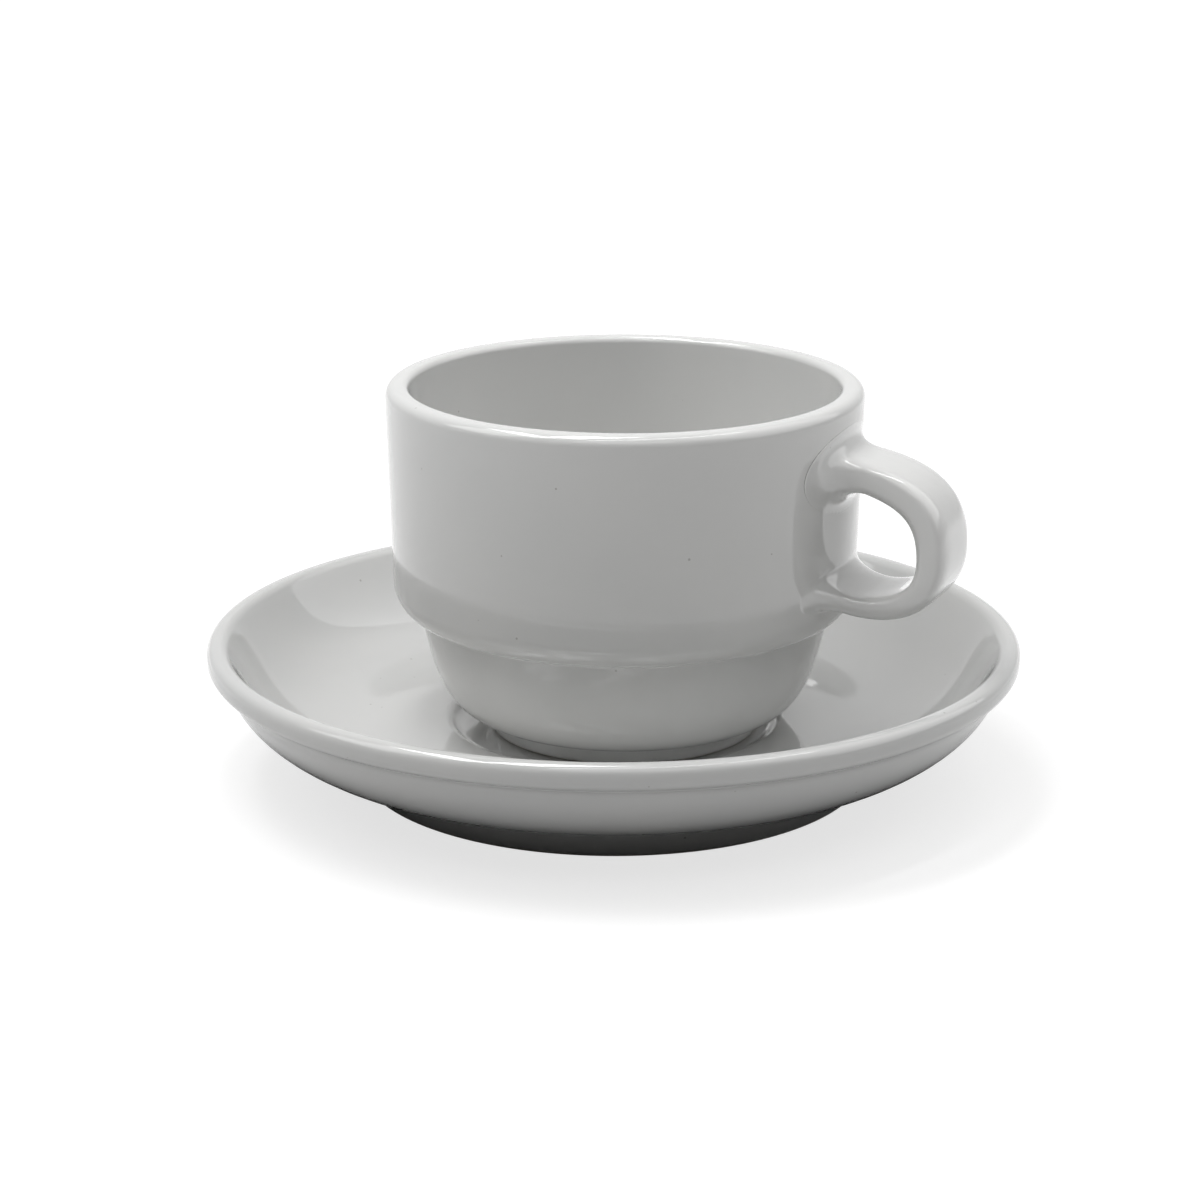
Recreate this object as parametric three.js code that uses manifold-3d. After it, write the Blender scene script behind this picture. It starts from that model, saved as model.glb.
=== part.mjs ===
// A stacking coffee cup with an ear handle, standing in the well of a deep round saucer.
// Millimetres, +Z up. The origin is on the table, under the middle of the saucer.
// The handle points along +X.
import * as THREE from 'three';
import { mergeVertices } from 'three/addons/utils/BufferGeometryUtils.js';
import Module from 'manifold-3d';

// Saucer: a deep dish with a thick band for a rim, on a foot ring.
const saucerRadius = 72.5;
const saucerHeight = 25.7;
const rimWidth = 3.2;            // top of the rim, from the dish to the outside
const rimOuterRound = 2.0;
const rimInnerRound = 1.2;
const bandHeight = 3.8;          // thick band below the top of the rim
const bandRound = 1.3;           // lower edge of the band
const creaseInset = 3.1;         // the underside starts this far in from the band
const creaseDrop = 1.5;          // and this far below it
const creaseRound = 1.4;
const undersideHeight = 6.5;     // table to the lowest part of the underside
const undersideLean = 6.5;       // lean of the underside below the crease, in degrees
const undersideSidePull = 5.4;   // how long the underside keeps to its side
const undersidePull = 14.0;      // and to its bottom
const saucerWall = 3.7;          // between underside and dish, at the bottom
const dishInset = 2.8;           // the dish starts to rise this far in from the foot ring
const dishLean = 30;             // lean of the dish below the rim, in degrees
const dishSidePull = 10.8;
const dishPull = 16.5;
const saucerFootRadius = 45.6;   // outside of the foot ring, on the table
const saucerFootDraft = 1.2;     // the ring widens this much towards the dish
const saucerFootWidth = 3.6;
const saucerFootRound = 0.8;
const saucerFootBlend = 1.6;     // where the ring runs into the saucer
const saucerFloor = 4.2;         // between the well and the hollow under it
const hollowDraft = 20;          // lean of the hollow's side, in degrees
const wellDepth = 1.6;
const wellClearance = 1.9;       // free play that the cup still has in the well
const wellRound = 1.4;

// Cup: a straight upper wall, a step for stacking and a round bowl below it.
const cupHeight = 62.8;
const cupRadius = 42.1;          // outside, at the lip
const cupWall = 4.2;
const wallTaper = 1.05;          // the wall is this much narrower above the step
const stepHeight = 21.8;         // bottom of the foot to the top of the bowl
const stepWidth = 4.5;           // from the wall to the bowl
const stepRound = 5.0;
const ledgeFall = 1.2;           // fall of the ledge from the wall to the bowl
const ledgeRound = 0.7;
const bowlLean = 12.4;           // lean of the bowl's side under the step, in degrees
const bowlSidePull = 8.6;        // how long the bowl keeps to its side
const bowlPull = 8.7;            // and to its bottom
const cupFootRadius = 24.1;
const cupFootHeight = 3.2;
const cupFootWidth = 2.8;
const cupFootDraft = 0.4;
const cupFootRound = 0.7;
const cupFootHollow = 2.8;
const cupFloor = 4.2;
const cupShift = 2.0;            // the cup stands this far off the middle of the well
const cupShiftAngle = 32;        // direction of the shift, in degrees from the handle

// Handle: a strap bent into an ear, flared into a pad at each end.
const earProjection = 19.6;      // from the lip to the outside of the ear
const upperRootDrop = 10.5;      // middle of the upper root, below the lip
const lowerRootRise = 8.1;       // middle of the lower root, above the step
const bellyRise = 8.6;           // widest point of the ear, above the lower root
const upperArmAngle = 9;         // fall of the upper arm at its root, in degrees
const upperArmPull = 11.6;       // how far each bend of the ear keeps its direction
const bellyPullAbove = 9.2;
const bellyPullBelow = 9.0;
const lowerArmAngle = 13;        // rise of the lower arm towards its root, in degrees
const lowerArmPull = 9.5;
const strapThickness = 5.6;
const strapThicknessBelow = 3.4; // below its belly the strap gets thinner and wider
const bellyShare = 0.5;          // the belly is halfway along the strap
const strapWidth = 14.0;
const strapWidthBelow = 18.0;
const strapSquareness = 4.0;     // exponent of the section's outline: 2 is an ellipse
const upperPadWidth = 30.2;
const upperPadHeight = 15.0;
const upperPadDrop = 0.8;        // the upper pad sits this far below the middle of its root
const upperPadSquareness = 2.1;
const lowerPadWidth = 30.0;
const lowerPadHeight = 8.2;
const lowerPadRise = 0.8;        // the lower pad sits this far above the middle of its root
const lowerPadSquareness = 2.5;
const padEdge = 0.2;             // thickness of a pad at its edge
const flareLength = 5.4;         // from the wall to where the strap has its plain section
const flareTightness = 0.7;      // 1 would bring a flare close to a sharp corner
const rootSink = 6.0;            // length of the roots before the wall trims them
const slipGap = 0.3;             // joint between root and wall

// Glaze
const cupColour = 0xdededa;
const saucerColour = 0xd8d8d4;
const glazeRoughness = 0.12;

// Facets
const ringSegments = 48;
const roundSteps = 3;
const curveSteps = 8;
const strapSteps = 24;
const flareSteps = 6;
const sectionPoints = 24;

const wasm = await Module();
wasm.setup();

const radians = THREE.MathUtils.degToRad;
const at = (radius, height) => new THREE.Vector2(radius, height);
const heading = (degrees) => at(Math.cos(radians(degrees)), Math.sin(radians(degrees)));
const corner = (radius, height, round = 0) => ({ point: at(radius, height), round });
const through = (points) => points.map((point) => ({ point, round: 0 }));

function arc(centre, radius, from, to, steps) {
  return new THREE.EllipseCurve(centre.x, centre.y, radius, radius, from, to, to < from).getPoints(steps);
}

// A profile from its corners, where a rounded corner becomes an arc tangent to its two sides.
function profile(corners) {
  return corners.flatMap(({ point, round }, i) => {
    if (!round) return [point];
    const back = corners[i - 1].point.clone().sub(point).normalize();
    const ahead = corners[i + 1].point.clone().sub(point).normalize();
    const half = Math.acos(back.dot(ahead)) / 2;
    const centre = back.clone().add(ahead).setLength(round / Math.sin(half)).add(point);
    const reach = round / Math.tan(half);
    const from = back.multiplyScalar(reach).add(point).sub(centre).angle();
    const to = ahead.multiplyScalar(reach).add(point).sub(centre).angle();
    const turn = THREE.MathUtils.euclideanModulo(to - from + Math.PI, 2 * Math.PI) - Math.PI;
    return arc(centre, round, from, from + turn, roundSteps);
  });
}

// A curve from a level bottom up to a side that leans inwards by an angle.
function bowlCurve(bottom, side, bottomPull, sidePull, lean) {
  const below = heading(-90 - lean).multiplyScalar(sidePull).add(side);
  const beside = at(bottom.x + bottomPull, bottom.y);
  return new THREE.CubicBezierCurve(bottom, beside, below, side).getPoints(curveSteps);
}

// The same line moved outwards, to the right of its direction.
function offset(points, distance) {
  return points.map((point, i) => {
    const before = points[Math.max(i - 1, 0)];
    const after = points[Math.min(i + 1, points.length - 1)];
    const direction = after.clone().sub(before).normalize();
    return at(point.x + distance * direction.y, point.y - distance * direction.x);
  });
}

// Joins shared vertices and drops triangles that have shrunk to a line.
function weld(geometry) {
  geometry.deleteAttribute('normal');
  geometry.deleteAttribute('uv');
  const welded = mergeVertices(geometry);
  const triangles = [];
  for (let i = 0; i < welded.index.count; i += 3) {
    const [a, b, c] = [0, 1, 2].map((k) => welded.index.getX(i + k));
    if (a !== b && b !== c && c !== a) triangles.push(a, b, c);
  }
  welded.setIndex(triangles);
  return welded;
}

function revolve(points) {
  const lathe = new THREE.LatheGeometry(points, ringSegments);
  lathe.rotateX(Math.PI / 2);
  return weld(lathe);
}

function solid(geometry) {
  const vertProperties = new Float32Array(geometry.attributes.position.array);
  const triVerts = new Uint32Array(geometry.index.array);
  return new wasm.Manifold(new wasm.Mesh({ numProp: 3, vertProperties, triVerts }));
}

function geometryOf(body) {
  const { vertProperties, triVerts } = body.getMesh();
  const geometry = new THREE.BufferGeometry();
  geometry.setAttribute('position', new THREE.BufferAttribute(vertProperties, 3));
  geometry.setIndex(new THREE.BufferAttribute(triVerts, 1));
  return geometry;
}

function piece(name, geometry, color) {
  geometry.computeVertexNormals();
  const glaze = new THREE.MeshStandardMaterial({ color, roughness: glazeRoughness, metalness: 0 });
  const mesh = new THREE.Mesh(geometry, glaze);
  mesh.name = name;
  return mesh;
}

// Saucer
const dishFloor = undersideHeight + saucerWall;
const wellFloor = dishFloor - wellDepth;
const wellRadius = cupFootRadius + cupShift + wellClearance;

function saucerGeometry() {
  const footTop = at(saucerFootRadius + saucerFootDraft, undersideHeight);
  const footInner = saucerFootRadius - saucerFootWidth;
  const hollowTop = wellFloor - saucerFloor;
  const hollowRadius = footInner - hollowTop * Math.tan(radians(hollowDraft));
  const bandFoot = saucerHeight - bandHeight;
  const crease = at(saucerRadius - creaseInset, bandFoot - creaseDrop);
  const underside = bowlCurve(footTop, crease, undersidePull, undersideSidePull, undersideLean);
  const dishStart = at(saucerFootRadius - dishInset, dishFloor);
  const dishEdge = at(saucerRadius - rimWidth, saucerHeight);
  const dish = bowlCurve(dishStart, dishEdge, dishPull, dishSidePull, dishLean).reverse();

  return revolve(profile([
    corner(0, hollowTop),
    corner(hollowRadius, hollowTop, saucerFootBlend),
    corner(footInner, 0, saucerFootRound),
    corner(saucerFootRadius, 0, saucerFootRound),
    corner(footTop.x, footTop.y, saucerFootBlend),
    ...through(underside.slice(1, -1)),
    corner(crease.x, crease.y, creaseRound),
    corner(saucerRadius, bandFoot, bandRound),
    corner(saucerRadius, saucerHeight, rimOuterRound),
    corner(dishEdge.x, dishEdge.y, rimInnerRound),
    ...through(dish.slice(1)),
    corner(wellRadius + wellDepth, dishFloor, wellRound),
    corner(wellRadius, wellFloor, wellRound),
    corner(0, wellFloor),
  ]));
}

// Cup, with heights counted from the bottom of its foot
const stepRadius = cupRadius - wallTaper;
const bowlRadius = stepRadius - stepWidth;
const wallRadius = (height) => THREE.MathUtils.mapLinear(
  height, stepHeight + ledgeFall, cupHeight, stepRadius, cupRadius);

// The outside of the cup, from the foot to the step. The straight wall follows.
function cupOutside() {
  const bowlBottom = at(cupFootRadius + cupFootDraft, cupFootHeight);
  const bowl = bowlCurve(bowlBottom, at(bowlRadius, stepHeight), bowlPull, bowlSidePull, bowlLean);
  return [
    corner(cupFootRadius, 0, cupFootRound),
    corner(bowlBottom.x, bowlBottom.y, cupFootRound),
    ...through(bowl.slice(1, -1)),
    corner(bowlRadius, stepHeight, ledgeRound),
    corner(stepRadius, stepHeight + ledgeFall, stepRound),
  ];
}

function cupGeometry() {
  const insideFloor = cupFootHollow + cupFloor;
  const insideStep = stepHeight + cupWall;
  const bowlTop = at(bowlRadius - cupWall, stepHeight);
  const innerBowl = bowlCurve(
    at(cupFootRadius - cupWall, insideFloor), bowlTop, bowlPull, bowlSidePull, bowlLean);
  // The inside widens over the step in one soft bend.
  const shoulder = new THREE.CubicBezierCurve(
    at(wallRadius(insideStep + stepRound) - cupWall, insideStep + stepRound),
    at(stepRadius - cupWall, insideStep),
    heading(90 - bowlLean).multiplyScalar(cupWall).add(bowlTop),
    bowlTop,
  ).getPoints(curveSteps);
  const footInner = cupFootRadius - cupFootWidth;
  return revolve(profile([
    corner(0, cupFootHollow),
    corner(footInner - cupFootDraft, cupFootHollow, cupFootRound),
    corner(footInner, 0, cupFootRound),
    ...cupOutside(),
    corner(cupRadius, cupHeight, cupWall / 2),
    corner(cupRadius - cupWall, cupHeight, cupWall / 2),
    ...through(shoulder.slice(0, -1)),
    ...through(innerBowl.reverse()),
    corner(0, insideFloor),
  ]));
}

// Handle
const upperRoot = cupHeight - upperRootDrop;
const lowerRoot = stepHeight + lowerRootRise;

// The middle line of the ear in its own plane, from the wall out and back to the wall.
function earPath() {
  const top = at(wallRadius(upperRoot), upperRoot);
  const bottom = at(wallRadius(lowerRoot), lowerRoot);
  const belly = at(cupRadius + earProjection - strapThickness / 2, lowerRoot + bellyRise);
  const upperArm = heading(-upperArmAngle).multiplyScalar(upperArmPull).add(top);
  const lowerArm = heading(-lowerArmAngle).multiplyScalar(lowerArmPull).add(bottom);
  const path = new THREE.CurvePath();
  path.add(new THREE.CubicBezierCurve(top, upperArm, at(belly.x, belly.y + bellyPullAbove), belly));
  path.add(new THREE.CubicBezierCurve(belly, at(belly.x, belly.y - bellyPullBelow), lowerArm, bottom));
  return path;
}

// A point on a squarish oval.
function oval(width, height, angle, squareness) {
  const squared = (value) => Math.sign(value) * Math.abs(value) ** (2 / squareness);
  return [width / 2 * squared(Math.cos(angle)), height / 2 * squared(Math.sin(angle))];
}

// A point on the strap's skin, at a share of the path and an angle round the section.
function strapPoint(path, share, angle) {
  const middle = path.getPointAt(share);
  const tangent = path.getTangentAt(share);
  const width = THREE.MathUtils.lerp(strapWidth, strapWidthBelow, share);
  const thinning = THREE.MathUtils.smoothstep(share, bellyShare, 1);
  const thickness = THREE.MathUtils.lerp(strapThickness, strapThicknessBelow, thinning);
  const [across, out] = oval(width, thickness, angle, strapSquareness);
  return new THREE.Vector3(middle.x - out * tangent.y, across, middle.y + out * tangent.x);
}

// A point on top of a pad's edge, where it lies on the wall.
function onWall(across, height) {
  const radius = wallRadius(height) + slipGap + padEdge;
  return new THREE.Vector3(Math.sqrt(radius ** 2 - across ** 2), across, height);
}

// One line of a flare, from inside the wall over the pad's edge to the plain strap. It rounds off
// the corner that the strap would make with the wall.
function flareLine(edge, strapFoot, strapEnd) {
  const hollow = onWall(strapFoot.y, strapFoot.z);
  const curve = new THREE.CubicBezierCurve3(
    edge, edge.clone().lerp(hollow, flareTightness), strapEnd.clone().lerp(hollow, flareTightness), strapEnd);
  const sunk = new THREE.Vector3(edge.x - rootSink, edge.y, edge.z);
  return [sunk, ...curve.getPoints(flareSteps)];
}

function handleGeometry() {
  const path = earPath();
  const flareShare = flareLength / path.getLength();
  const lines = [];
  for (let k = 0; k < sectionPoints; k += 1) {
    const angle = (2 * Math.PI * k) / sectionPoints;
    const skin = (share) => strapPoint(path, share, angle);
    const [upperAcross, upperOut] = oval(upperPadWidth, upperPadHeight, angle, upperPadSquareness);
    const [lowerAcross, lowerOut] = oval(lowerPadWidth, lowerPadHeight, angle, lowerPadSquareness);
    const upper = onWall(upperAcross, upperRoot - upperPadDrop + upperOut);
    const lower = onWall(lowerAcross, lowerRoot + lowerPadRise - lowerOut);
    const strap = [];
    for (let i = 1; i < strapSteps; i += 1) {
      strap.push(skin(THREE.MathUtils.lerp(flareShare, 1 - flareShare, i / strapSteps)));
    }
    lines.push([
      ...flareLine(upper, skin(0), skin(flareShare)),
      ...strap,
      ...flareLine(lower, skin(1), skin(1 - flareShare)).reverse(),
    ]);
  }

  const rings = lines[0].length;
  const positions = [];
  const triangles = [];
  const starts = new THREE.Vector3();
  const ends = new THREE.Vector3();
  lines.forEach((line, k) => {
    const here = k * rings;
    const next = ((k + 1) % sectionPoints) * rings;
    line.forEach((point) => positions.push(...point));
    for (let i = 0; i < rings - 1; i += 1) {
      triangles.push(here + i, next + i + 1, here + i + 1, here + i, next + i, next + i + 1);
    }
    triangles.push(sectionPoints * rings, next, here);
    triangles.push(sectionPoints * rings + 1, here + rings - 1, next + rings - 1);
    starts.addScaledVector(line[0], 1 / sectionPoints);
    ends.addScaledVector(line[rings - 1], 1 / sectionPoints);
  });
  positions.push(...starts, ...ends);
  const strap = new THREE.BufferGeometry();
  strap.setAttribute('position', new THREE.Float32BufferAttribute(positions, 3));
  strap.setIndex(triangles);

  // The roots are trimmed to the outside of the wall, with room for the slip.
  const wall = offset(profile([corner(0, 0), ...cupOutside(), corner(cupRadius, cupHeight)]), slipGap);
  const trim = revolve([...wall, at(0, cupHeight)]);
  return geometryOf(solid(strap).subtract(solid(trim)));
}

const cup = new THREE.Group();
cup.add(piece('cup_body', cupGeometry(), cupColour));
cup.add(piece('cup_handle', handleGeometry(), cupColour));
const shift = heading(cupShiftAngle).multiplyScalar(cupShift);
cup.position.set(shift.x, shift.y, wellFloor);

const cupWithSaucer = new THREE.Group();
cupWithSaucer.add(piece('saucer', saucerGeometry(), saucerColour));
cupWithSaucer.add(cup);

export default cupWithSaucer;
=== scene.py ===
# A stacking coffee cup in its deep saucer: white porcelain under a clear glaze.
import math

import bmesh
import bpy
from mathutils import Matrix, Vector
from mathutils.geometry import interpolate_bezier


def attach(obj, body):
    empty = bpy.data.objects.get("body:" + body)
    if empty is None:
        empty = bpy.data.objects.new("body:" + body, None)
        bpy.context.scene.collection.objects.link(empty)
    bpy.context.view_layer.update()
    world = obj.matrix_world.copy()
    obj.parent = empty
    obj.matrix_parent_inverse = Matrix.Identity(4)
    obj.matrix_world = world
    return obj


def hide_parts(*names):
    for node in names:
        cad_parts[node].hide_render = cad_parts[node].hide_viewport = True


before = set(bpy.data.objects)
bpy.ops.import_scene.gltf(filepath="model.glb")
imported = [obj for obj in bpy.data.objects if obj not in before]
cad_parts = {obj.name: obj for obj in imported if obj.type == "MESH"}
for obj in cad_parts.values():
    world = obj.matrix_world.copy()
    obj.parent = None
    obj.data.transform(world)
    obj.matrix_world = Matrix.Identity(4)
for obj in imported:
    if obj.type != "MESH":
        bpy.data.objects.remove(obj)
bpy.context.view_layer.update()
scene = bpy.context.scene
scene.view_settings.view_transform = "Standard"
mm = 0.001
print("frame loaded:", sorted(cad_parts))


# camera

viewpoint = {
    "azimuth": 24.0,      # degrees round from the front, towards the handle
    "pitch": 16.69,       # looking down
    "distance": 0.5253,   # along the floor, to the saucer's axis
    "height": 0.1889,
    "aside": 0.0024,      # the saucer's axis is this far right of the middle
    "lens": 91.93,
    "sensor": 36.0,
    "clip": (0.01, 20.0),
}


def setCamera(v):
    data = bpy.data.cameras.new("viewpoint")
    data.lens = v["lens"]
    data.sensor_width = v["sensor"]
    data.clip_start, data.clip_end = v["clip"]
    camera = bpy.data.objects.new("viewpoint", data)
    scene.collection.objects.link(camera)
    turn = Matrix.Rotation(math.radians(v["azimuth"]), 3, "Z")
    camera.location = turn @ Vector((-v["aside"], -v["distance"], v["height"]))
    camera.rotation_euler = (math.radians(90 - v["pitch"]), 0, math.radians(v["azimuth"]))
    scene.camera = camera
    return turn


viewTurn = setCamera(viewpoint)
print("camera set")


# shader helpers

def addNode(tree, kind, **values):
    node = tree.nodes.new(kind)
    for name, value in values.items():
        setattr(node, name, value)
    return node


def plugIn(tree, source, socket):
    # a source is another node's socket or a plain value
    if isinstance(source, bpy.types.NodeSocket):
        tree.links.new(source, socket)
    else:
        socket.default_value = source


def feed(tree, node, **sources):
    # inputs by name, with _ for a space
    for name, source in sources.items():
        plugIn(tree, source, node.inputs[name.replace("_", " ")])
    return node


def feedInOrder(tree, node, *sources):
    for source, socket in zip(sources, node.inputs):
        plugIn(tree, source, socket)
    return node.outputs[0]


def newGroup(name, inputs, outputs):
    tree = bpy.data.node_groups.new(name, "ShaderNodeTree")
    for way, sockets in (("INPUT", inputs), ("OUTPUT", outputs)):
        for label, kind in sockets.items():
            tree.interface.new_socket(label, in_out=way, socket_type="NodeSocket" + kind)
    return tree, addNode(tree, "NodeGroupInput").outputs, addNode(tree, "NodeGroupOutput")


def noise(tree, place, scale, detail=2.0, rough=0.5):
    node = addNode(tree, "ShaderNodeTexNoise")
    return feed(tree, node, Vector=place, Scale=scale, Detail=detail, Roughness=rough).outputs["Fac"]


def remap(tree, value, low, high, toLow=0.0, toHigh=1.0):
    node = addNode(tree, "ShaderNodeMapRange", interpolation_type="SMOOTHSTEP")
    feed(tree, node, Value=value, From_Min=low, From_Max=high, To_Min=toLow, To_Max=toHigh)
    return node.outputs["Result"]


def calc(tree, operation, a, b):
    return feedInOrder(tree, addNode(tree, "ShaderNodeMath", operation=operation), a, b)


def mixColor(tree, factor, a, b):
    node = addNode(tree, "ShaderNodeMix", data_type="RGBA")
    for source, index in ((factor, 0), (a, 6), (b, 7)):   # where the node keeps its colour sockets
        plugIn(tree, source, node.inputs[index])
    return node.outputs[2]


def heightOf(tree, place):
    return feed(tree, addNode(tree, "ShaderNodeSeparateXYZ"), Vector=place).outputs["Z"]


def greyColor(value):
    return (value, value, value, 1)


# glaze: faint clouds in the white, ripples, orange peel and a few iron specks

glazeLook = {
    "cloudScale": 28.0,
    "cloudFade": (0.35, 0.70),
    "peelScale": 900.0,
    "peelHeight": 0.05,        # against the ripples
    "speckFrom": 0.85,         # only cells above this draw have a speck
    "speckSize": 0.09,         # the largest, in cells
    "speckStrength": 0.42,
    "speckDepth": 0.3,
    "speckColor": (0.16, 0.14, 0.12, 1),
    "roughness": (0.02, 0.03, 0.02),   # everywhere, from the peel and from the clouds
    "rippleDepth": 0.0006,
    "ior": 1.52,
    "coatIor": 1.5,
    "coatRoughness": 0.03,
    # painted shade: the dark colour laid in the crease along the upper pad's edge
    "paintedCreaseShadeColor": (0.10, 0.095, 0.09, 1),
    "clay": ((0.55, 0.53, 0.49, 1), (0.68, 0.66, 0.62, 1)),   # bare, in two shades
    "clayScale": 2500.0,
    "clayRoughness": 0.75,
    "clayFade": 0.0002,
}


def makeGlazeGroup(look):
    tree, given, result = newGroup("glazeSkin", {
        "Place": "Vector",
        "White": "Color",
        "Cloud": "Color",
        "Ripple Scale": "Float",
        "Speck Scale": "Float",
    }, {"Color": "Color", "Roughness": "Float", "Height": "Float"})
    place = given["Place"]
    cloud = remap(tree, noise(tree, place, look["cloudScale"], detail=3.0), *look["cloudFade"])
    ripple = noise(tree, place, given["Ripple Scale"], detail=1.0)
    peel = noise(tree, place, look["peelScale"], rough=0.6)

    # a speck sits in only a few of the cells
    cells = feed(tree, addNode(tree, "ShaderNodeTexVoronoi"), Vector=place, Scale=given["Speck Scale"])
    draw = feed(tree, addNode(tree, "ShaderNodeSeparateColor"), Color=cells.outputs["Color"]).outputs[0]
    size = remap(tree, draw, look["speckFrom"], 1.0, 0.0, look["speckSize"])
    speck = calc(tree, "LESS_THAN", cells.outputs["Distance"], size)

    white = mixColor(tree, cloud, given["White"], given["Cloud"])
    dot = calc(tree, "MULTIPLY", speck, look["speckStrength"])
    everywhere, fromPeel, fromCloud = look["roughness"]
    rough = calc(tree, "ADD", calc(tree, "MULTIPLY", peel, fromPeel),
                 calc(tree, "MULTIPLY", cloud, fromCloud))
    bumps = calc(tree, "ADD", ripple, calc(tree, "MULTIPLY", peel, look["peelHeight"]))
    pit = calc(tree, "MULTIPLY", speck, look["speckDepth"])
    feed(tree, result,
         Color=mixColor(tree, dot, white, look["speckColor"]),
         Roughness=calc(tree, "ADD", rough, everywhere),
         Height=calc(tree, "SUBTRACT", bumps, pit))
    return tree


glazeGroup = makeGlazeGroup(glazeLook)


def makeGlaze(name, g, look=glazeLook):
    material = bpy.data.materials.new(name)
    material.use_nodes = True
    tree = material.node_tree
    place = addNode(tree, "ShaderNodeTexCoord").outputs["Object"]
    skin = addNode(tree, "ShaderNodeGroup", node_tree=glazeGroup)
    feed(tree, skin, Place=place, White=g["white"], Cloud=g["cloud"],
         Ripple_Scale=g["rippleScale"], Speck_Scale=g["speckScale"])
    color = skin.outputs["Color"]
    rough = skin.outputs["Roughness"]

    # the foot ring is wiped clean before firing, so bare clay shows there
    if "bareBelow" in g:
        bare = remap(tree, heightOf(tree, place), g["bareBelow"] - look["clayFade"], g["bareBelow"], 1.0, 0.0)
        grain = noise(tree, place, look["clayScale"], detail=3.0, rough=0.7)
        color = mixColor(tree, bare, color, mixColor(tree, grain, *look["clay"]))
        rough = calc(tree, "MAXIMUM", rough, calc(tree, "MULTIPLY", bare, look["clayRoughness"]))
    # painted shade in the crease along the upper pad's edge, darkest at its upper left, from the mesh's own
    # attribute
    if "paintedCreaseShade" in g:
        paintedCreaseShade = addNode(tree, "ShaderNodeAttribute", attribute_name="paintedCreaseShade").outputs["Fac"]
        color = mixColor(tree, calc(tree, "MULTIPLY", paintedCreaseShade, g["paintedCreaseShade"]), color, look["paintedCreaseShadeColor"])

    bump = feed(tree, addNode(tree, "ShaderNodeBump"), Height=skin.outputs["Height"],
                Strength=g["ripple"], Distance=look["rippleDepth"])
    feed(tree, tree.nodes["Principled BSDF"], Base_Color=color, Roughness=rough,
         Normal=bump.outputs["Normal"], IOR=look["ior"],
         Coat_Weight=g["coat"], Coat_Roughness=look["coatRoughness"], Coat_IOR=look["coatIor"])
    return material


# profiles in millimetres: (radius, height, reach of the rounding at that corner)

profile = {
    "roundSteps": 8,
    "roundPull": 0.56,    # towards the corner, for a round one
    "bowlSteps": 20,
}


def leaning(angle):
    # up, and outwards by this angle
    return Vector((math.sin(math.radians(angle)), 0, math.cos(math.radians(angle))))


def roundOff(corners):
    line = []
    points = [Vector((r, 0, z)) for r, z, reach in corners]
    for i, corner in enumerate(points):
        reach = corners[i][2]
        if not reach:
            line.append(corner)
            continue
        before, after = reach if isinstance(reach, tuple) else (reach, reach)
        start = corner + (points[i - 1] - corner).normalized() * before
        end = corner + (points[i + 1] - corner).normalized() * after
        pulls = [p.lerp(corner, profile["roundPull"]) for p in (start, end)]
        line += interpolate_bezier(start, *pulls, end, profile["roundSteps"])
    return line


def bowlCurve(bottom, side, bottomPull, sidePull, lean):
    # from a level bottom up to a side that leans outwards
    a, b = (Vector((r, 0, z)) for r, z in (bottom, side))
    pulls = (a + Vector((bottomPull, 0, 0)), b - leaning(lean) * sidePull)
    return [(p.x, p.z, 0) for p in interpolate_bezier(a, *pulls, b, profile["bowlSteps"])]


def finishMesh(name, bm):
    bmesh.ops.recalc_face_normals(bm, faces=bm.faces)
    for face in bm.faces:
        face.smooth = True
    mesh = bpy.data.meshes.new(name)
    bm.to_mesh(mesh)
    bm.free()
    piece = bpy.data.objects.new(name, mesh)
    scene.collection.objects.link(piece)
    return piece


def turnOnWheel(name, corners, steps, centre=(0, 0, 0)):
    bm = bmesh.new()
    verts = [bm.verts.new(p * mm) for p in roundOff(corners)]
    edges = [bm.edges.new(pair) for pair in zip(verts, verts[1:])]
    bmesh.ops.spin(bm, geom=verts + edges, cent=(0, 0, 0), axis=(0, 0, 1), angle=2 * math.pi,
                   steps=steps, use_merge=True)
    bmesh.ops.remove_doubles(bm, verts=bm.verts, dist=1e-7)
    bmesh.ops.translate(bm, verts=bm.verts, vec=centre)
    return finishMesh(name, bm)


# saucer

saucer = {
    "radius": 72.5,
    "height": 25.7,
    "rim": 3.2,              # width of the rim's top
    "band": 3.8,             # height of the thick band
    "crease": (69.4, 20.4),  # radius and height, under the band
    "underside": 6.5,        # lowest part, above the table
    "undersideCurve": (14.0, 5.4, 6.5),   # pull at its bottom, pull and lean at its side
    "footRadius": 45.6,
    "footWidth": 3.6,
    "footFlare": 1.2,
    "dishFloor": 10.2,
    "dishRadius": 42.8,      # of its level part
    "dishCurve": (16.5, 10.8, 30.0),
    "wellRadius": 28.0,
    "wellFloor": 8.6,
    "hollow": 4.4,           # under the well
    "slope": 1.6,            # width of the well's edge and of the hollow's
    "rounds": {"hollow": 1.3, "footInner": 0.7, "footOuter": 0.8, "neck": 1.5, "crease": 1.3,
               "band": 1.1, "rim": 1.8, "dishEdge": (0.9, 1.3), "well": 0.9},
    "steps": 192,
    "glaze": {"white": (0.56, 0.56, 0.55, 1), "cloud": (0.54, 0.543, 0.537, 1), "rippleScale": 60.0,
              "ripple": 0.06, "speckScale": 380.0, "bareBelow": 0.0007, "coat": 0.4},
}


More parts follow.
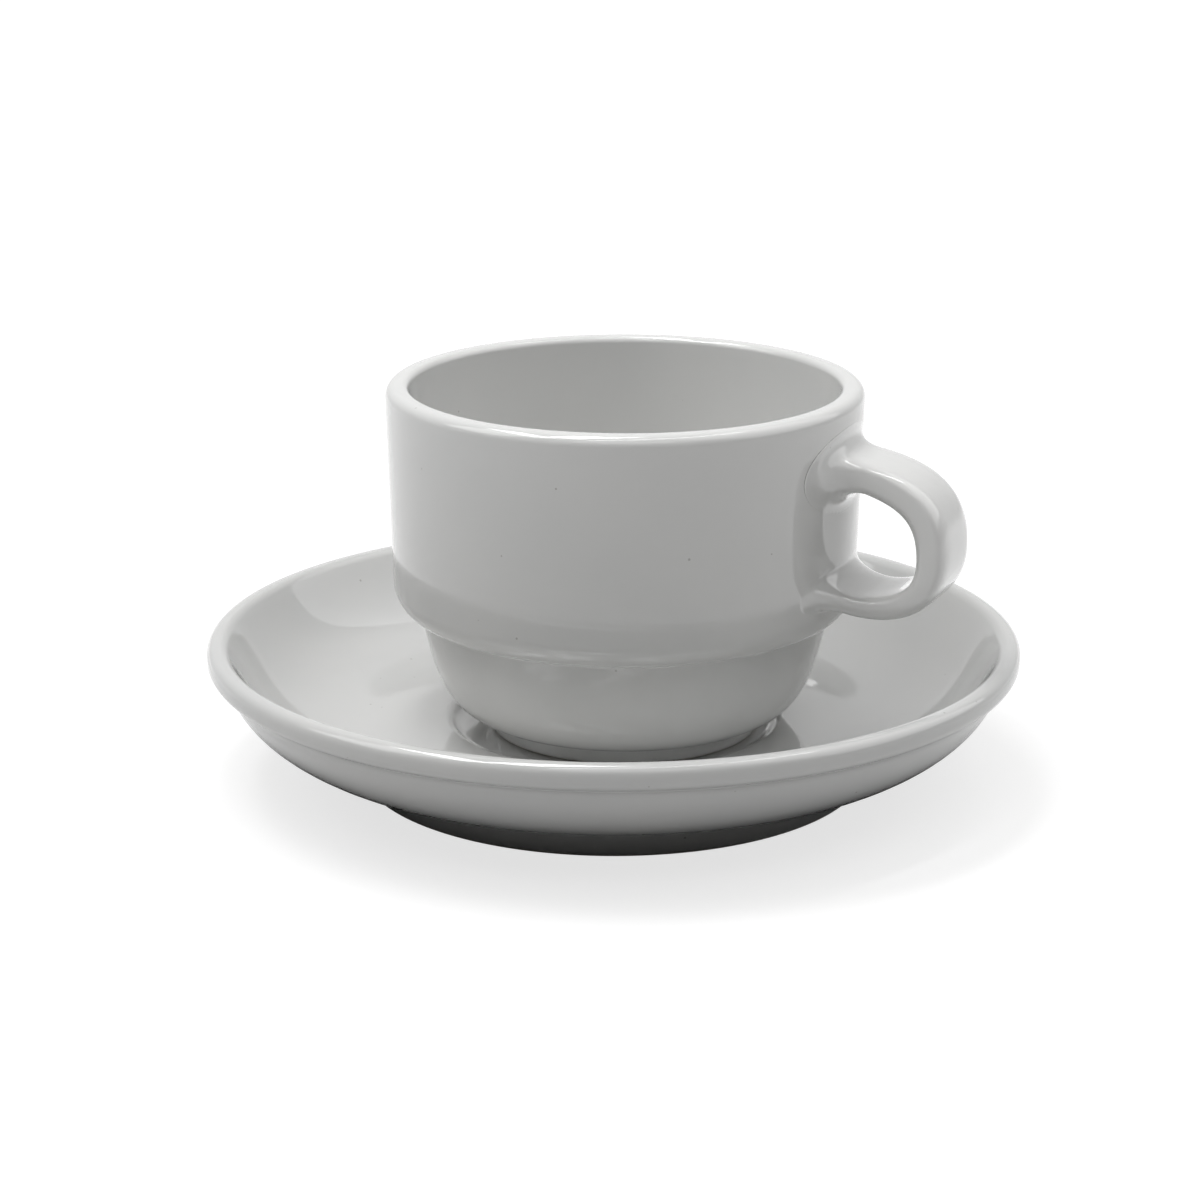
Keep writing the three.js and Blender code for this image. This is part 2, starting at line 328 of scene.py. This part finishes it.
def makeSaucer(s):
    foot, top, rounds = s["footRadius"], s["height"], s["rounds"]
    footInner = foot - s["footWidth"]
    neck = (foot + s["footFlare"], s["underside"])
    dishEdge = (s["radius"] - s["rim"], top)
    underside = bowlCurve(neck, s["crease"], *s["undersideCurve"])
    dish = bowlCurve((s["dishRadius"], s["dishFloor"]), dishEdge, *s["dishCurve"])[::-1]
    corners = [
        (0, s["hollow"], 0),
        (footInner - s["slope"], s["hollow"], rounds["hollow"]),
        (footInner, 0, rounds["footInner"]),
        (foot, 0, rounds["footOuter"]),
        (*neck, rounds["neck"]),
        *underside[3:-2],   # a curve's first and last points make room for the rounded corners
        (*s["crease"], rounds["crease"]),
        (s["radius"], top - s["band"], rounds["band"]),
        (s["radius"], top, rounds["rim"]),
        (*dishEdge, rounds["dishEdge"]),
        *dish[2:],
        (s["wellRadius"] + s["slope"], s["dishFloor"], rounds["well"]),
        (s["wellRadius"], s["wellFloor"], rounds["well"]),
        (0, s["wellFloor"], 0),
    ]
    piece = turnOnWheel("saucerBody", corners, s["steps"])
    piece.data.materials.append(makeGlaze("saucerGlaze", s["glaze"]))
    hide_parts("saucer")
    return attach(piece, "saucer")


makeSaucer(saucer)
print("saucer turned")


# cup

cupWhite = {"white": (0.645, 0.645, 0.635, 1), "cloud": (0.625, 0.628, 0.62, 1)}

cup = {
    "place": (2.0, 32.0),    # off the saucer's axis, and in which direction in degrees
    "height": 62.8,          # this and other heights from the bottom of the foot
    "radius": 42.1,          # at the lip
    "wall": 4.2,
    "stepRadius": 41.05,     # the straight wall, just above the step
    "stepTop": 23.0,
    "bowlRadius": 36.55,
    "bowlTop": 21.8,
    "bowlCurve": (8.7, 8.6, 12.4),   # pull at its bottom, pull and lean at its side
    "floor": 7.0,            # inside
    "bend": 5.0,             # height over which the inside leaves the straight wall
    "bendSteps": 16,
    "footRadius": 24.1,
    "footWidth": 2.8,
    "footHeight": 3.2,
    "footFlare": 0.4,
    "hollow": 2.8,           # under the floor
    "rounds": {"hollow": 0.7, "footInner": 0.6, "footOuter": 0.7, "neck": 0.8, "bowl": 0.4,
               "step": 3.84, "lip": 2.0, "lipInner": 1.2},
    "steps": 192,
    "glaze": {**cupWhite, "rippleScale": 60.0, "ripple": 0.06, "speckScale": 400.0,
              "bareBelow": 0.0091, "coat": 0.4},
}
shift, shiftAngle = cup["place"][0], math.radians(cup["place"][1])
cupCentre = Vector((shift * math.cos(shiftAngle), shift * math.sin(shiftAngle), saucer["wellFloor"])) * mm


def wallRadius(height):
    share = (height - cup["stepTop"]) / (cup["height"] - cup["stepTop"])
    return cup["stepRadius"] + share * (cup["radius"] - cup["stepRadius"])


def makeCup(c):
    wall, foot, rounds = c["wall"], c["footRadius"], c["rounds"]
    footInner = foot - c["footWidth"]
    neck = (foot + c["footFlare"], c["footHeight"])
    bowlEdge = (c["bowlRadius"], c["bowlTop"])
    bowl = bowlCurve(neck, bowlEdge, *c["bowlCurve"])

    # inside, the wall runs into the bowl in one soft bend
    innerEdge = Vector((c["bowlRadius"] - wall, 0, c["bowlTop"]))
    inner = bowlCurve((foot - wall, c["floor"]), innerEdge.xz, *c["bowlCurve"])[::-1]
    bendEnd = c["bowlTop"] + wall
    bendTop = bendEnd + c["bend"]
    bend = interpolate_bezier(
        Vector((wallRadius(bendTop) - wall, 0, bendTop)),
        Vector((c["stepRadius"] - wall, 0, bendEnd)),
        innerEdge + leaning(c["bowlCurve"][2]) * wall, innerEdge, c["bendSteps"])

    corners = [
        (0, c["hollow"], 0),
        (footInner - c["footFlare"], c["hollow"], rounds["hollow"]),
        (footInner, 0, rounds["footInner"]),
        (foot, 0, rounds["footOuter"]),
        (*neck, rounds["neck"]),
        *bowl[2:-1],
        (*bowlEdge, rounds["bowl"]),
        (c["stepRadius"], c["stepTop"], rounds["step"]),
        (c["radius"], c["height"], rounds["lip"]),
        (c["radius"] - wall, c["height"], rounds["lipInner"]),
        *[(p.x, p.z, 0) for p in bend[:-1]],
        *inner,
        (0, c["floor"], 0),
    ]
    piece = turnOnWheel("cupBody", corners, c["steps"], cupCentre)
    piece.data.materials.append(makeGlaze("cupGlaze", c["glaze"]))
    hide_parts("cup_body")
    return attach(piece, "cup")


makeCup(cup)
print("cup turned")


# handle

handle = {
    "reach": 19.6,            # from the lip to the outside of the ear
    "upperRoot": 52.3,        # heights above the bottom of the cup's foot
    "lowerRoot": 29.9,
    "belly": 38.3,
    "upperArm": (9.0, 11.6),  # angle and pull of each arm
    "lowerArm": (13.0, 9.5),
    "bellyPull": (9.2, 9.0),  # above and below
    "earSteps": 200,
    "thickness": (5.4, 5.6, 3.0),   # at the upper root, halfway and at the lower root
    "width": (14.0, 15.5, 18.0),
    "squareness": 4.6,
    # the pads on the wall; bead is the height of the rounded edge
    "upperPad": {"width": 30.4, "height": 15.0, "middle": 51.5, "squareness": 2.0, "bead": 0.2},
    "lowerPad": {"width": 30.2, "height": 8.6, "middle": 30.8, "squareness": 2.5, "bead": 0.0},
    "beadWidth": 0.5,
    "beadPull": (0.7, 0.6),   # up the edge and back along its top
    "beadSteps": 6,
    "beadAndShadeAt": 150.0,          # degrees round the upper pad, where its edge bead rises most and the painted crease shade is darkest
    "paintedShadeRows": 3,            # the painted crease shade lies on the points before this row, counted from inside the wall
    "flare": (3.8, 6.4),      # length and tightness of the flares, outside the ear and in its gap
    "tightness": (0.75, 0.5),
    "flareSteps": 20,
    "sink": 1.5,              # of the ends into the wall
    "around": 72,
    "along": 64,
    # the value before the coat is the strength of the painted crease shade along the upper pad's edge
    "glaze": {**cupWhite, "rippleScale": 150.0, "ripple": 0.16, "speckScale": 420.0,
              "paintedCreaseShade": 0.85, "coat": 0.8},
}


def oval(width, height, angle, squareness):
    # a point on a squarish oval
    c, s = math.cos(angle), math.sin(angle)
    across = math.copysign(abs(c) ** (2 / squareness), c) * width / 2
    return across, math.copysign(abs(s) ** (2 / squareness), s) * height / 2


def earLine(h):
    # middle line of the ear in its own plane, and the length of it up to each point
    top = Vector((wallRadius(h["upperRoot"]), 0, h["upperRoot"]))
    bottom = Vector((wallRadius(h["lowerRoot"]), 0, h["lowerRoot"]))
    belly = Vector((cup["radius"] + h["reach"] - h["thickness"][1] / 2, 0, h["belly"]))

    def arm(root, angle, pull):
        return root + Vector((math.cos(math.radians(angle)), 0, -math.sin(math.radians(angle)))) * pull

    above, below = (Vector((0, 0, pull)) for pull in h["bellyPull"])
    fine = interpolate_bezier(top, arm(top, *h["upperArm"]), belly + above, belly, h["earSteps"])
    fine += interpolate_bezier(belly, belly - below, arm(bottom, *h["lowerArm"]), bottom, h["earSteps"])[1:]
    lengths = [0.0]
    for p, q in zip(fine, fine[1:]):
        lengths.append(lengths[-1] + (q - p).length)
    return fine, lengths


def lineAt(line, share):
    # place and direction at a share of the whole length
    fine, lengths = line
    want = share * lengths[-1]
    i = next((k for k, reached in enumerate(lengths) if reached > want), len(fine) - 1)
    part = (want - lengths[i - 1]) / (lengths[i] - lengths[i - 1])
    return fine[i - 1].lerp(fine[i], part), (fine[i] - fine[i - 1]).normalized()


def along(values, share):
    # one even curve through the values at both roots and halfway
    first, middle, last = values
    ends = first * (1 - share) * (1 - 2 * share) + last * share * (2 * share - 1)
    return ends + 4 * middle * share * (1 - share)


def strapPoint(h, line, share, angle):
    middle, ahead = lineAt(line, share)
    across, out = oval(along(h["width"], share), along(h["thickness"], share), angle, h["squareness"])
    return middle + Vector((-out * ahead.z, across, out * ahead.x))


def unroll(point):
    # distance round the wall, distance off it, and height
    angle = math.atan2(point.y, point.x)
    return Vector((angle * cup["radius"], point.xy.length - wallRadius(point.z), point.z))


def rollUp(point):
    angle, radius = point.x / cup["radius"], wallRadius(point.z) + point.y
    return Vector((radius * math.cos(angle), radius * math.sin(angle), point.z))


def betweenSides(values, angle):
    # from the value outside the ear to the one in its gap
    outside, inside = values
    return inside + (outside - inside) * (0.5 + 0.5 * math.sin(angle))


# how high the upper pad's edge bead rises and how dark its painted crease shade is, round the pad
def beadAndShadeShare(h, angle):
    return max(0.0, math.cos(angle - math.radians(h["beadAndShadeAt"]))) ** 2


def flareCurve(h, pad, side, angle, foot, end):
    # from inside the wall, over the edge of the pad that lies on it, out into the strap
    across, out = oval(pad["width"], pad["height"], angle, pad["squareness"])
    edge = Vector((across, 0, pad["middle"] + side * out))
    foot, end = unroll(foot), unroll(end)
    rise = Vector((0, pad["bead"] * beadAndShadeShare(h, angle), 0))
    inward = Vector((foot.x - edge.x, 0, foot.z - edge.z)).normalized() * h["beadWidth"]
    top = edge + inward + rise
    upPull, backPull = h["beadPull"]
    bead = interpolate_bezier(edge, edge + rise * upPull, top - inward * backPull, top, h["beadSteps"])
    corner = Vector((foot.x, rise.y, foot.z))
    pulls = [p.lerp(corner, betweenSides(h["tightness"], angle)) for p in (top, end)]
    curve = interpolate_bezier(top, *pulls, end, h["flareSteps"])
    sunk = edge - Vector((0, h["sink"], 0))
    return [rollUp(p) for p in [sunk, *bead[:-1], *curve]]


def handleLine(h, line, angle):
    # one line of the skin, from inside the wall at the upper root to inside it at the lower one
    def strap(share):
        return strapPoint(h, line, share, angle)

    lengths = line[1]
    flare = betweenSides(h["flare"], angle) / lengths[-1]
    upper = flareCurve(h, h["upperPad"], 1, angle, strap(0), strap(flare))
    lower = flareCurve(h, h["lowerPad"], -1, angle, strap(1), strap(1 - flare))
    shares = [flare + (1 - 2 * flare) * i / h["along"] for i in range(1, h["along"])]
    return [*upper, *[strap(share) for share in shares], *lower[::-1]]


def makeHandle(h):
    line = earLine(h)
    angles = [2 * math.pi * k / h["around"] for k in range(h["around"])]
    lines = [handleLine(h, line, angle) for angle in angles]
    bm = bmesh.new()
    lineOf = bm.verts.layers.int.new("line")
    paintedCreaseShade = bm.verts.layers.float.new("paintedCreaseShade")
    ring = bmesh.ops.create_circle(bm, cap_ends=True, segments=h["around"], radius=mm)["verts"]
    for k, v in enumerate(ring):
        v[lineOf] = k
        v.co = lines[k][0] * mm
    edges = bm.edges[:]
    for row in range(1, len(lines[0])):
        grown = bmesh.ops.extrude_edge_only(bm, edges=edges)["geom"]
        edges = [g for g in grown if isinstance(g, bmesh.types.BMEdge)]
        for v in (g for g in grown if isinstance(g, bmesh.types.BMVert)):
            k = v[lineOf]
            v.co = lines[k][row] * mm
            # painted crease shade on the first rows, along the upper pad's edge
            v[paintedCreaseShade] = beadAndShadeShare(h, angles[k]) if row < h["paintedShadeRows"] else 0.0
    bmesh.ops.contextual_create(bm, geom=edges)
    bmesh.ops.translate(bm, verts=bm.verts, vec=cupCentre)
    piece = finishMesh("cupHandle", bm)
    piece.data.materials.append(makeGlaze("handleGlaze", h["glaze"]))
    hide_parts("cup_handle")
    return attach(piece, "cup")


makeHandle(handle)
print("handle drawn")


# floor, sky and lamps

studio = {
    "floorSize": 6.0,
    "floorGrey": 0.60,          # what the object sees of the floor
    "floorPaper": 0.35,         # what the camera sees: paper with a glow, and the shadow on it
    "floorGlow": (0.72, 1.0),   # near the object and far off
    "glowReach": (0.10, 0.50),  # metres from the middle
    "paintedShadeReach": (0.052, 0.086),    # painted shade: for the object's light and reflections the floor lightens from black between these distances from the middle
    "gloss": 0.85,              # share of the white surroundings in reflections
    "sky": (0.06, 0.28),        # near the horizon and overhead
    "skyRise": (0.35, 0.85),    # where it changes, 0 level and 1 straight up
    "aim": (0.0, 0.0, 0.04),
    "lamps": {
        # name: (right, away, up) in metres from the saucer as the camera sees it, size, power
        "topPanel": ((-0.12, 0.06, 0.75), (0.50, 0.14), 2.0),
        "sidePanel": ((-0.33, 0.02, 0.75), (0.50, 0.12), 1.7),
        "leftPanel": ((-0.62, -0.08, 0.66), (0.50, 0.50), 1.5),
        "rightPanel": ((0.70, 0.02, 0.70), (1.20, 1.05), 3.4),
        "strip": ((0.10, -0.10, 0.80), (0.80, 0.05), 1.0),
        "frontPanel": ((0.0, -0.60, 0.70), (0.60, 0.20), 0.4),
    },
}


def whiteShare(tree, gloss):
    # the camera sees all of the white, reflections a share of it, the light none
    path = addNode(tree, "ShaderNodeLightPath").outputs
    mirrored = calc(tree, "MAXIMUM", path["Is Glossy Ray"], path["Is Transmission Ray"])
    return calc(tree, "MAXIMUM", path["Is Camera Ray"], calc(tree, "MULTIPLY", mirrored, gloss))


def makeFloorPaper(s):
    material = bpy.data.materials.new("floorPaper")
    material.use_nodes = True
    tree = material.node_tree
    tree.nodes.remove(tree.nodes["Principled BSDF"])
    length = addNode(tree, "ShaderNodeVectorMath", operation="LENGTH")
    plugIn(tree, addNode(tree, "ShaderNodeTexCoord").outputs["Object"], length.inputs[0])
    reach = length.outputs["Value"]
    # painted shade: near the middle the floor is black for the light it throws back and for reflections,
    # standing in for the saucer's shadow under it
    clearOfPaintedShade = remap(tree, reach, *s["paintedShadeReach"])

    floorGreyWithPaintedShade = mixColor(tree, clearOfPaintedShade, greyColor(0), greyColor(s["floorGrey"]))
    grey = feed(tree, addNode(tree, "ShaderNodeBsdfDiffuse"), Color=floorGreyWithPaintedShade).outputs[0]
    white = feed(tree, addNode(tree, "ShaderNodeBsdfDiffuse"), Color=greyColor(s["floorPaper"])).outputs[0]
    strength = remap(tree, reach, *s["glowReach"], *s["floorGlow"])
    glow = feed(tree, addNode(tree, "ShaderNodeEmission"), Strength=strength).outputs[0]
    paper = feedInOrder(tree, addNode(tree, "ShaderNodeAddShader"), white, glow)
    seen = whiteShare(tree, calc(tree, "MULTIPLY", clearOfPaintedShade, s["gloss"]))
    both = feedInOrder(tree, addNode(tree, "ShaderNodeMixShader"), seen, grey, paper)
    feed(tree, tree.nodes["Material Output"], Surface=both)
    return material


def makeFloor(s):
    bm = bmesh.new()
    bmesh.ops.create_grid(bm, x_segments=1, y_segments=1, size=s["floorSize"])
    floor = finishMesh("floor", bm)
    floor.data.materials.append(makeFloorPaper(s))


def makeSky(s):
    world = bpy.data.worlds.new("sky")
    scene.world = world
    world.use_nodes = True
    tree = world.node_tree
    rise = heightOf(tree, addNode(tree, "ShaderNodeTexCoord").outputs["Generated"])
    light = remap(tree, rise, *s["skyRise"], *s["sky"])
    strength = calc(tree, "MAXIMUM", whiteShare(tree, s["gloss"]), light)
    feed(tree, tree.nodes["Background"], Color=greyColor(1), Strength=strength)


def makeLamps(s):
    for name, (place, size, power) in s["lamps"].items():
        data = bpy.data.lights.new(name, "AREA")
        data.shape = "RECTANGLE"
        data.size, data.size_y = size
        data.energy = power
        lamp = bpy.data.objects.new(name, data)
        scene.collection.objects.link(lamp)
        lamp.location = viewTurn @ Vector(place)
        aim = Vector(s["aim"]) - lamp.location
        lamp.rotation_euler = aim.to_track_quat("-Z", "Y").to_euler()


makeFloor(studio)
makeSky(studio)
makeLamps(studio)
print("studio lit")
